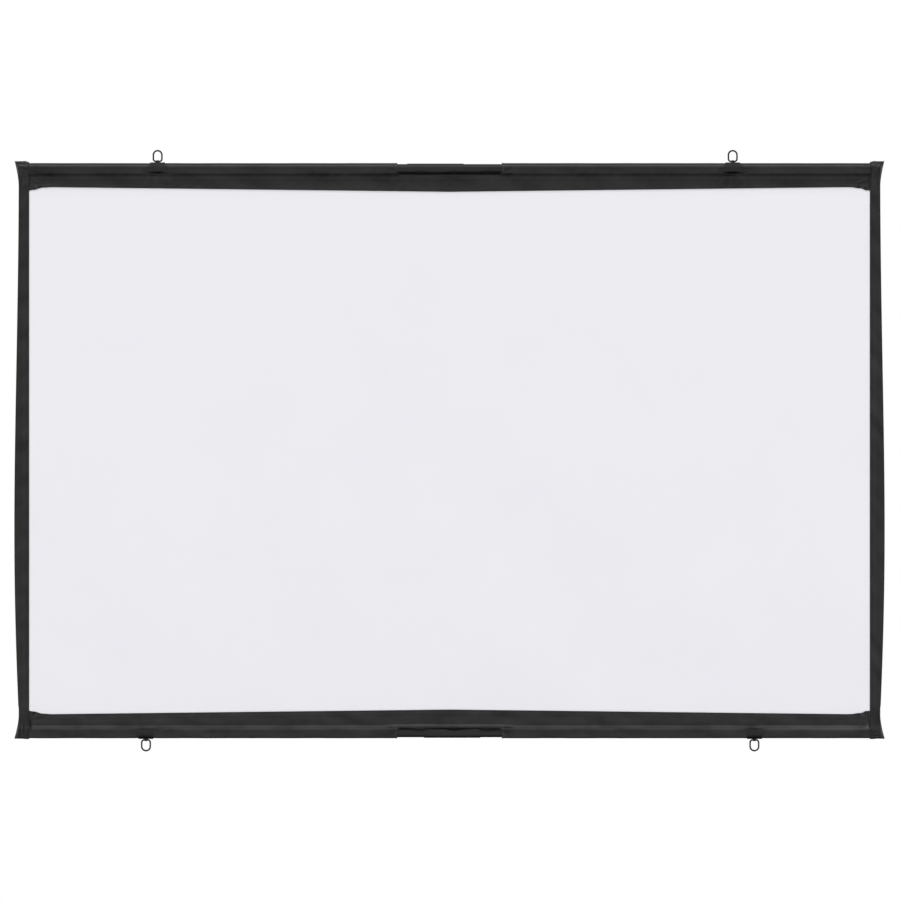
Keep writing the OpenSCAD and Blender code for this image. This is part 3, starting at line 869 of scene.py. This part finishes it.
class Shader:
    """A material, made one node at a time. An input is a number, a colour or another node's output."""

    def __init__(self, name):
        self.material = bpy.data.materials.new(name)
        self.material.use_nodes = True
        self.tree = self.material.node_tree
        self.tree.nodes.clear()

    def node(self, kind, inputs, output=0, **settings):
        node = self.tree.nodes.new(kind)
        for setting, value in settings.items():
            setattr(node, setting, value)
        for socket, value in inputs.items():
            if isinstance(value, bpy.types.NodeSocket):
                self.tree.links.new(value, node.inputs[socket])
            else:
                node.inputs[socket].default_value = value
        return node.outputs[output] if node.outputs else None

    def math(self, operation, first, second=0.0, third=0.0):
        return self.node("ShaderNodeMath", {0: first, 1: second, 2: third}, operation=operation)

    def part(self, vector, axis):
        return self.node("ShaderNodeSeparateXYZ", {0: vector}, axis)

    def place(self):
        return self.node("ShaderNodeTexCoord", {}, "Object")

    def noise(self, vector, scale, detail=2.0, rough=0.5):
        return self.node("ShaderNodeTexNoise",
                         {"Vector": vector, "Scale": scale, "Detail": detail, "Roughness": rough})

    def blend(self, share, first, second):
        return self.node("ShaderNodeMix", {0: share, 6: first, 7: second}, 2, data_type="RGBA")

    def scaled(self, colour, share):
        return self.node("ShaderNodeVectorMath", {0: colour, "Scale": share}, operation="SCALE")

    def ranged(self, value, from_low, from_high, low=0.0, high=1.0, **settings):
        inputs = {0: value, 1: from_low, 2: from_high, 3: low, 4: high}
        return self.node("ShaderNodeMapRange", inputs, **settings)

    def spread(self, value, low, high):
        """Moves a value from about 0.3-0.7, where noise lies, to low-high."""
        return self.ranged(value, 0.3, 0.7, low, high)

    def bump(self, height, distance, strength):
        inputs = {"Height": height, "Distance": distance, "Strength": strength}
        return self.node("ShaderNodeBump", inputs)

    def surface(self, **inputs):
        named = {key.replace("_", " "): value for key, value in inputs.items()}
        return self.node("ShaderNodeBsdfPrincipled", named)

    def done(self, surface):
        self.node("ShaderNodeOutputMaterial", {"Surface": surface})
        return self.material


def grey(value):
    return value, value, value, 1


def weave(shader, lay, pitch):
    """Over and under of a plain weave, from -1 to 1."""
    turns = 2 * math.pi / pitch
    along = shader.math("SINE", shader.math("MULTIPLY", shader.part(lay, 0), turns))
    across = shader.math("SINE", shader.math("MULTIPLY", shader.part(lay, 1), turns))
    return shader.math("MULTIPLY", along, across)


def painted_underside_shade(shader, full_shade_facing, no_shade_facing):
    """Painted shade on what faces down: 1 for what faces sideways or up, and darker for what faces
    down. The tone changes between two values of how far up the surface faces, from -1 to 1."""
    normal = shader.node("ShaderNodeNewGeometry", {}, "Normal")
    return shader.ranged(shader.part(normal, 2), full_shade_facing, no_shade_facing, SHADED_UNDERSIDE_SHARE, 1.0)


def black_cloth():
    """Plain-woven black polyester with uneven yarns and a low sheen. Its colour and gloss carry painted
    light and shade from the fold attribute, and painted shade on what faces down.
    """
    shader = Shader("black_cloth")
    lay = shader.node("ShaderNodeAttribute", {}, 1, attribute_name="lay")
    threads = weave(shader, lay, 0.9 * MM)
    yarn = shader.noise(lay, 700)
    worn = shader.noise(lay, 22, 3)
    share = shader.math("MULTIPLY_ADD", threads, 0.18, shader.spread(worn, 0.25, 0.75))
    share = shader.math("ADD", share, shader.spread(yarn, -0.18, 0.18))
    colour = shader.blend(share, grey(CLOTH_DARK), grey(CLOTH_LIGHT))
    # The fold attribute holds painted light and shade; it and the painted shade on what faces down scale
    # both the colour and the gloss
    fold = shader.node("ShaderNodeAttribute", {}, 2, attribute_name="fold")
    lit = shader.math("MULTIPLY", shader.math("ADD", fold, 1.0), painted_underside_shade(shader, -0.79, -0.68))
    height = shader.math("MULTIPLY_ADD", threads, 0.5, yarn)
    return shader.done(shader.surface(
        Base_Color=shader.scaled(colour, lit), Roughness=shader.spread(worn, 0.32, 0.38),
        Specular_IOR_Level=shader.math("MULTIPLY", lit, 0.21),
        Sheen_Weight=0.05, Sheen_Roughness=0.4, Normal=shader.bump(height, 0.05 * MM, 0.35)))


def white_cloth():
    """Matte white coated screen cloth with a fine grain."""
    shader = Shader("white_sheet")
    lay = shader.node("ShaderNodeAttribute", {}, 1, attribute_name="lay")
    grain = shader.noise(lay, 900)
    cloudy = shader.noise(lay, 5, 3)
    colour = shader.blend(shader.spread(cloudy, 0, 1), (0.824, 0.816, 0.86, 1), (0.839, 0.831, 0.871, 1))
    colour = shader.blend(shader.spread(grain, 0, 0.3), colour, (0.79, 0.782, 0.826, 1))
    return shader.done(shader.surface(
        Base_Color=colour, Roughness=0.92, Specular_IOR_Level=0.1,
        Normal=shader.bump(grain, 0.04 * MM, 0.3)))


def thread():
    """Twisted polyester sewing thread."""
    shader = Shader("black_thread")
    twist = shader.noise(shader.place(), 2500, 1)
    colour = shader.blend(shader.spread(twist, 0, 1), grey(0.012), grey(0.045))
    return shader.done(shader.surface(
        Base_Color=colour, Roughness=0.45, Specular_IOR_Level=0.3,
        Normal=shader.bump(twist, 0.05 * MM, 0.4)))


def coated_tube(name, tone):
    """Satin black powder coat on steel tube, with orange peel and rub marks along the tube, and painted
    shade on what faces down.
    """
    shader = Shader(name)
    place = shader.place()
    along = shader.node("ShaderNodeMapping", {"Vector": place, "Scale": (4, 90, 90)})
    rubbed = shader.noise(along, 1.0, 3)
    peel = shader.noise(place, 900, 1)
    colour = shader.blend(shader.spread(rubbed, 0, 1), grey(tone), grey(tone * 1.4))
    # Painted shade on what faces down, on the colour and the gloss
    lit = painted_underside_shade(shader, -0.8, -0.4)
    return shader.done(shader.surface(
        Base_Color=shader.scaled(colour, lit), Roughness=shader.spread(rubbed, 0.28, 0.4),
        Specular_IOR_Level=shader.math("MULTIPLY", lit, 0.14),
        Normal=shader.bump(peel, 0.03 * MM, 0.3)))


def plastic(name, tone, rough):
    """Moulded plastic with a fine spark-eroded grain, faint flow marks, and painted shade on what faces
    down.
    """
    shader = Shader(name)
    place = shader.place()
    grain = shader.noise(place, 1800, 2)
    flow = shader.noise(place, 140, 2)
    colour = shader.blend(shader.spread(flow, 0, 1), grey(tone), grey(tone * 1.4))
    # Painted shade on what faces down, on the colour and the gloss
    lit = painted_underside_shade(shader, -0.75, -0.3)
    return shader.done(shader.surface(
        Base_Color=shader.scaled(colour, lit), Roughness=shader.spread(flow, rough - 0.05, rough + 0.07),
        Specular_IOR_Level=shader.math("MULTIPLY", lit, 0.16),
        Normal=shader.bump(grain, 0.03 * MM, 0.25)))


def plated_wire():
    """Dark plated steel wire with drawn scratches."""
    shader = Shader("ring_steel")
    place = shader.place()
    dull = shader.noise(place, 260, 3)
    fine = shader.noise(place, 2600, 1)
    colour = shader.blend(shader.spread(dull, 0, 1), grey(0.015), grey(0.045))
    return shader.done(shader.surface(
        Base_Color=colour, Metallic=1.0, Roughness=shader.spread(dull, 0.28, 0.45),
        Normal=shader.bump(fine, 0.02 * MM, 0.3)))


def nodes_ending(ending):
    """The frame's pieces whose node names have this ending."""
    nodes = frame["nodes"]
    return [nodes[name] for name in nodes if name.endswith(ending)]


def dress(pieces, material):
    """Gives pieces a material."""
    for piece in pieces:
        piece.data.materials.clear()
        piece.data.materials.append(material)


def area_lamp(name, place, aim, size, power):
    lamp = bpy.data.lights.new(name, "AREA")
    lamp.shape = "RECTANGLE"
    lamp.size, lamp.size_y = size
    lamp.energy = power
    holder = linked(name, lamp)
    holder.location = place
    direction = Vector(aim) - Vector(place)
    holder.rotation_euler = direction.to_track_quat("-Z", "Y").to_euler()
    holder.visible_camera = False
    return holder


def white_world():
    """White for what looks straight out, softer for what it lights."""
    world = bpy.data.worlds.new("room")
    world.use_nodes = True
    bpy.context.scene.world = world
    nodes, links = world.node_tree.nodes, world.node_tree.links
    nodes.clear()
    path = nodes.new("ShaderNodeLightPath")
    straight = nodes.new("ShaderNodeMath")
    straight.operation = "MAXIMUM"
    links.new(path.outputs["Is Camera Ray"], straight.inputs[0])
    links.new(path.outputs["Is Transmission Ray"], straight.inputs[1])
    strength = nodes.new("ShaderNodeMapRange")
    links.new(straight.outputs[0], strength.inputs[0])
    strength.inputs[3].default_value = ROOM_LIGHT
    strength.inputs[4].default_value = 1.0
    back = nodes.new("ShaderNodeBackground")
    back.inputs["Color"].default_value = (1, 1, 1, 1)
    links.new(strength.outputs[0], back.inputs["Strength"])
    out = nodes.new("ShaderNodeOutputWorld")
    links.new(back.outputs[0], out.inputs[0])


def floor_material():
    """Pale grey that fades to the white background away from the middle."""
    shader = Shader("floor")
    place = shader.place()
    flat = shader.node("ShaderNodeMapping", {"Vector": place, "Scale": FLOOR_FADE_SHAPE})
    away = shader.node("ShaderNodeVectorMath", {0: flat}, "Value", operation="LENGTH")
    fade = shader.ranged(away, *FLOOR_FADE, interpolation_type="SMOOTHSTEP")
    seen = shader.node("ShaderNodeLightPath", {}, "Is Camera Ray")
    pale = shader.blend(shader.noise(place, 3, 3), grey(0.8), grey(0.84))
    ground = shader.node("ShaderNodeBsdfDiffuse", {"Color": pale})
    white = shader.node("ShaderNodeEmission", {"Color": (1, 1, 1, 1), "Strength": 1.0})
    share = shader.math("MULTIPLY", fade, seen)
    return shader.done(shader.node("ShaderNodeMixShader", {0: share, 1: ground, 2: white}))


def pale_floor():
    mesh = bpy.data.meshes.new("floor")
    corners = [(x * FLOOR_HALF, y * FLOOR_HALF, FLOOR_Z) for x, y in ((-1, -1), (1, -1), (1, 1), (-1, 1))]
    mesh.from_pydata(corners, [], [(0, 1, 2, 3)])
    mesh.materials.append(floor_material())
    linked("floor", mesh)


def place_camera():
    camera = bpy.data.cameras.new("camera")
    camera.sensor_width = SENSOR_MM
    camera.lens = SENSOR_MM * VIEW_FAR / VIEW_W
    holder = linked("camera", camera)
    holder.location = (VIEW_X, -VIEW_FAR, VIEW_Z)
    holder.rotation_euler = (math.pi / 2, 0, 0)
    bpy.context.scene.camera = holder
    bpy.context.scene.view_settings.view_transform = "Standard"


place_camera()
white_world()
pale_floor()
stage_lamps = [area_lamp(*lamp) for lamp in LAMPS]

cloth = black_cloth()
sewing = thread()

sheet = projection_sheet()
dress([sheet], white_cloth())
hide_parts("projection_sheet")
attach(sheet, "screen")

for row, axis_z, up, seed in (("top", TOP_Z, 1, 20), ("bottom", BOTTOM_Z, -1, 40)):
    clips = [middle(row + "_left_clip", X), middle(row + "_right_clip", X)]
    piece, threads, around, cut_away = sleeve(row + "_sleeve_cloth", axis_z, up, clips, seed)
    dress([piece], cloth)
    dress([threads], sewing)
    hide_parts(row + "_sleeve")
    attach(piece, "screen")
    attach(threads, "screen")

for name, side, seed in (("left", -1, 60), ("right", 1, 70)):
    piece, threads, width, length = binding(name + "_binding_cloth", side, seed)
    dress([piece], cloth)
    dress([threads], sewing)
    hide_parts(name + "_side_binding")
    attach(piece, "screen")
    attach(threads, "screen")

dress(nodes_ending("_tube"), coated_tube("tube_paint", TUBE_TONE))
dress(nodes_ending("_coupler"), coated_tube("coupler_paint", COUPLER_TONE))
dress(nodes_ending("_plug"), plastic("black_plastic", PLUG_TONE, 0.5))
dress(nodes_ending("_clip"), plastic("clip_plastic", CLIP_TONE, 0.6))
dress(nodes_ending("_ring"), plated_wire())
